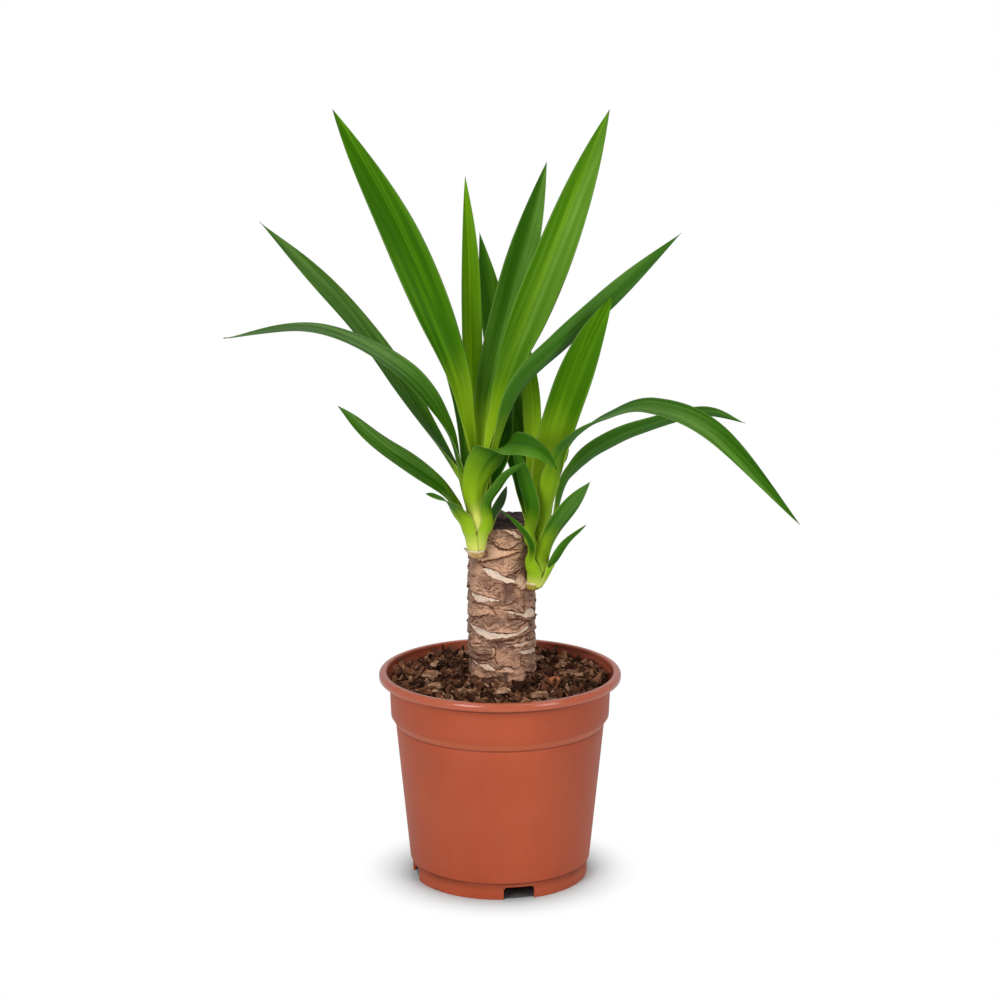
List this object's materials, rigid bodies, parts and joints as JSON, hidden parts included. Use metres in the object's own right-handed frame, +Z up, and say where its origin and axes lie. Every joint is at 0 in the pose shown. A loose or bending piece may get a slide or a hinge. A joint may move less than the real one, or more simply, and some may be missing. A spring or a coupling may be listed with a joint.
{
  "type": "potted yucca",
  "caption": "Young yucca with leafy side shoots on a stout cane, rooted in bark mix in a plain plastic nursery pot.",
  "frame": {"origin": "on the pot's axis, in the plane the foot ring stands on", "axes": "+Z up along the pot's axis; +X to the right and -Y towards the side where both shoots show"},
  "size_m": [0.3228, 0.1699, 0.4443],
  "materials": {
    "pot_plastic": "satin",
    "soil_mix": "matte",
    "bark_chip": "matte",
    "cane_bark": "matte",
    "cane_crust": "matte",
    "dry_sheath": "matte",
    "shoot_green": "satin",
    "leaf_green": "satin"
  },
  "bodies": {
    "root": {"pot": "pot_plastic", "soil": "soil_mix", "cane": "cane_bark", "cane_cap": "cane_crust", "left_stem": "shoot_green", "right_stem": "shoot_green", "left_sheath": "dry_sheath", "right_sheath": "dry_sheath", "bark_chip_01": "bark_chip", "bark_chip_02": "bark_chip", "bark_chip_03": "bark_chip", "bark_chip_04": "bark_chip", "bark_chip_05": "bark_chip", "bark_chip_06": "bark_chip", "bark_chip_07": "bark_chip", "bark_chip_08": "bark_chip", "bark_chip_09": "bark_chip", "bark_chip_10": "bark_chip", "bark_chip_11": "bark_chip", "bark_chip_12": "bark_chip", "left_leaf_01": "leaf_green", "left_leaf_02": "leaf_green", "left_leaf_03": "leaf_green", "left_leaf_04": "leaf_green", "left_leaf_05": "leaf_green", "left_leaf_06": "leaf_green", "left_leaf_07": "leaf_green", "left_leaf_08": "leaf_green", "left_leaf_09": "leaf_green", "left_leaf_10": "leaf_green", "left_leaf_11": "leaf_green", "left_leaf_12": "leaf_green", "left_leaf_13": "leaf_green", "left_leaf_14": "leaf_green", "right_leaf_01": "leaf_green", "right_leaf_02": "leaf_green", "right_leaf_03": "leaf_green", "right_leaf_04": "leaf_green", "right_leaf_05": "leaf_green", "right_leaf_06": "leaf_green", "right_leaf_07": "leaf_green", "right_leaf_08": "leaf_green", "right_leaf_09": "leaf_green", "right_leaf_10": "leaf_green", "right_leaf_11": "leaf_green"}
  },
  "joints": []
}
